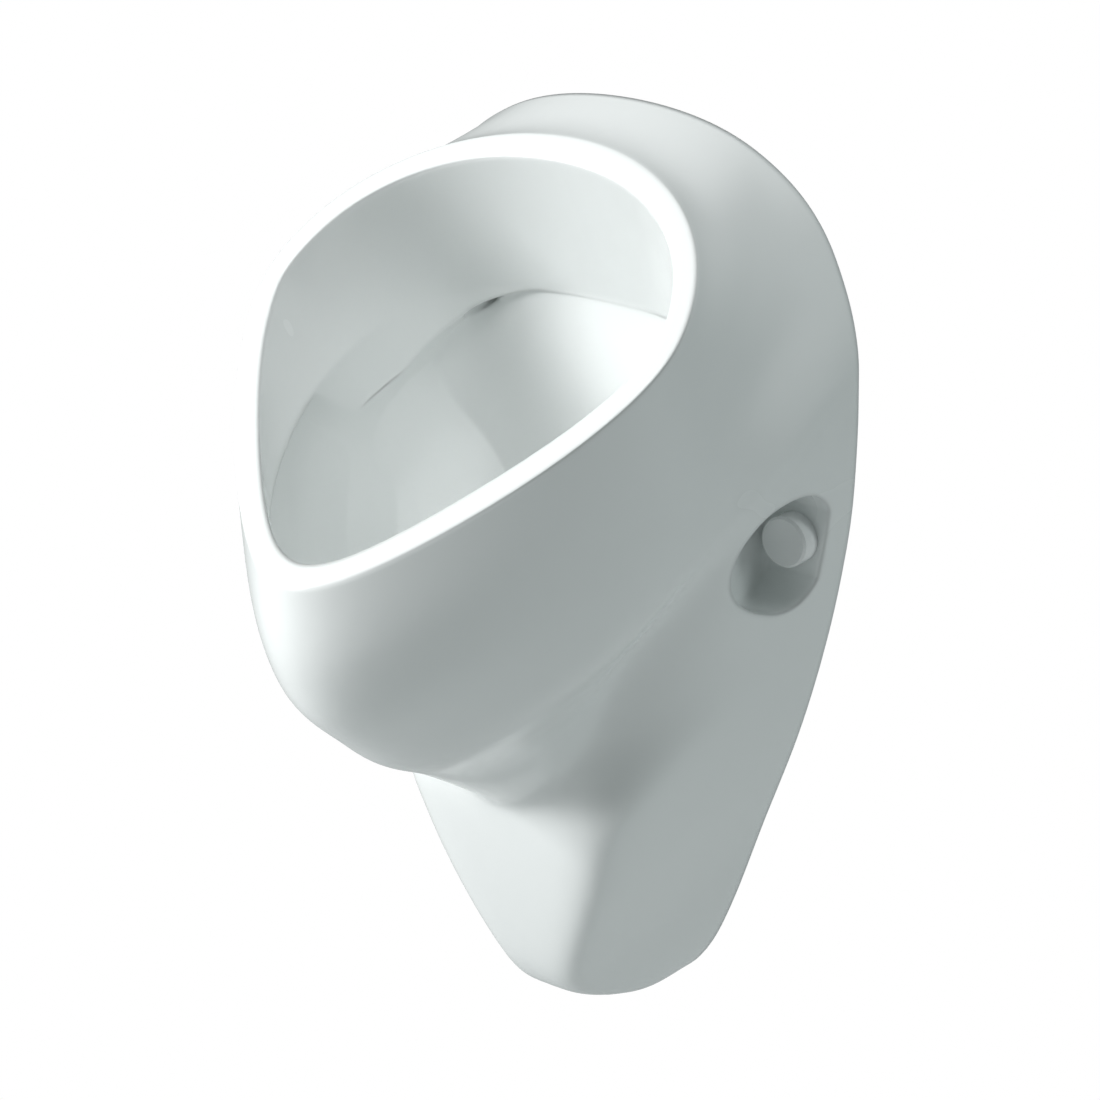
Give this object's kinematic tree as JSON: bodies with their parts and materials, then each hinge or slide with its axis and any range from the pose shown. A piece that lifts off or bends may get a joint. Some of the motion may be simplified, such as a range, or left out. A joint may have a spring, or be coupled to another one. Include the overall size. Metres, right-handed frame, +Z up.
{
  "type": "wall_hung_urinal",
  "caption": "White china wall hung urinal with a tilted oval bowl, hidden trap, side fixing pockets with cover caps and a lift-out strainer",
  "frame": {"origin": "on the wall plane, midway between the axes of the two fixing studs", "axes": "+X to the right as the user faces the wall, +Y into the wall, +Z up"},
  "size_m": [0.3495, 0.3624, 0.6021],
  "materials": {
    "glazed_china": "glossy white vitreous glaze, fired over slip-cast china",
    "mat_foam": "closed-cell foam, matt",
    "pipe_metal": "drawn tube, plated",
    "seal_rubber": "moulded rubber, matt",
    "polished_steel": "pressed stainless sheet, fine brushed",
    "trap_plastic": "moulded polypropylene, satin",
    "nut_plastic": "moulded polypropylene, satin",
    "band_steel": "stainless strip",
    "waste_plastic": "extruded grey pipe, satin",
    "zinc_steel": "zinc plated, passivated",
    "bush_plastic": "moulded nylon",
    "cap_plastic": "moulded white cap, gloss"
  },
  "bodies": {
    "urinal": {"ceramic_body": "glazed_china", "sound_gasket": "mat_foam", "inlet_tube": "pipe_metal", "inlet_seal": "seal_rubber", "trap_cuff": "seal_rubber", "trap_body": "trap_plastic", "trap_dip_tube": "trap_plastic", "trap_cup_seal": "seal_rubber", "trap_cup": "trap_plastic", "trap_cup_nut": "nut_plastic", "outlet_sleeve": "seal_rubber", "sleeve_bands": "band_steel", "waste_pipe": "waste_plastic", "wall_collar": "nut_plastic", "fixing_studs": "zinc_steel", "fixing_bushes": "bush_plastic", "fixing_washers": "zinc_steel", "fixing_nuts": "zinc_steel"},
    "strainer": {"strainer": "polished_steel"},
    "cap_left": {"fixing_cap_left": "cap_plastic"},
    "cap_right": {"fixing_cap_right": "cap_plastic"}
  },
  "joints": [
    {"name": "strainer_lift", "type": "slide", "parent": "urinal", "child": "strainer", "axis": [0, 0, 1], "range_m": [0, 0.04]},
    {"name": "cap_left_pull", "type": "slide", "parent": "urinal", "child": "cap_left", "axis": [0, -1, 0], "range_m": [0, 0.018]},
    {"name": "cap_right_pull", "type": "slide", "parent": "urinal", "child": "cap_right", "axis": [0, -1, 0], "range_m": [0, 0.018]}
  ]
}
